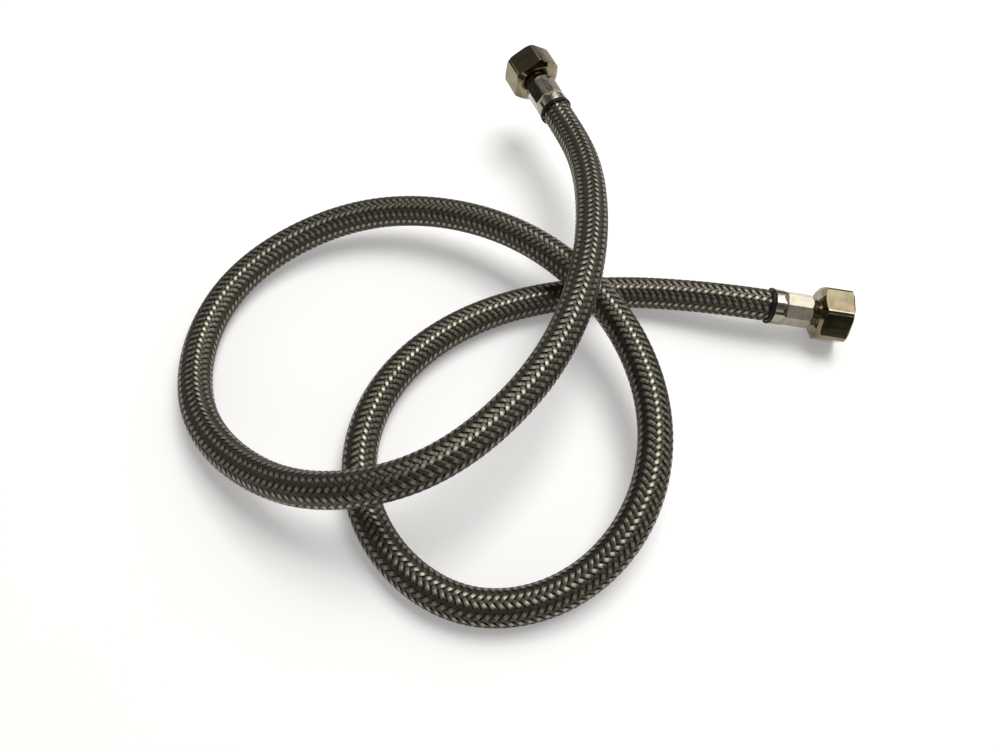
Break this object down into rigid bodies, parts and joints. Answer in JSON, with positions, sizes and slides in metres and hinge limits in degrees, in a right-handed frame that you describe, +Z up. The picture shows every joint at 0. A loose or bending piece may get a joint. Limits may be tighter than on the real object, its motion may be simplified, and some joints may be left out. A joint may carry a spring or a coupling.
{
  "type": "braided supply line",
  "caption": "Stainless-braided flexible water supply line lying in loose loops, with a crimped ferrule, a dark collar and a loose swivel hex union nut with sealing washer at each end.",
  "frame": {"origin": "centre of the coiled line's bounding box, on the surface that it lies on", "axes": "+Z up from the surface; +X towards the end that points to the side; +Y towards the end that points to the back"},
  "size_m": [0.2991, 0.2832, 0.0528],
  "materials": {
    "liner_rubber": "black EPDM rubber",
    "braid_steel": "bright stainless wire braid",
    "collar_plastic": "black plastic",
    "ferrule_steel": "bright stainless",
    "tail_brass": "nickel-plated brass",
    "nut_brass": "polished nickel-plated brass",
    "washer_rubber": "black rubber"
  },
  "bodies": {
    "hose": {"inner_liner": "liner_rubber", "braid_sleeve": "braid_steel", "back_collar": "collar_plastic", "back_crimp_ferrule": "ferrule_steel", "back_hose_tail": "tail_brass", "side_collar": "collar_plastic", "side_crimp_ferrule": "ferrule_steel", "side_hose_tail": "tail_brass"},
    "back_washer": {"back_sealing_washer": "washer_rubber"},
    "back_nut": {"back_swivel_nut": "nut_brass"},
    "side_washer": {"side_sealing_washer": "washer_rubber"},
    "side_nut": {"side_swivel_nut": "nut_brass"}
  },
  "joints": [
    {"name": "back_nut_float", "type": "slide", "parent": "hose", "child": "back_washer", "axis": [-0.4251, 0.8972, 0.12], "range_m": [0, 0.001]},
    {"name": "back_nut_swivel", "type": "hinge", "parent": "back_washer", "child": "back_nut", "pos_m": [0.00851, 0.1298, 0.03889], "axis": [-0.4251, 0.8972, 0.12], "continuous": true},
    {"name": "side_nut_float", "type": "slide", "parent": "hose", "child": "side_washer", "axis": [0.9869, -0.153, -0.052], "range_m": [0, 0.001]},
    {"name": "side_nut_swivel", "type": "hinge", "parent": "side_washer", "child": "side_nut", "pos_m": [0.14033, -0.00381, 0.01303], "axis": [0.9869, -0.153, -0.052], "continuous": true}
  ]
}
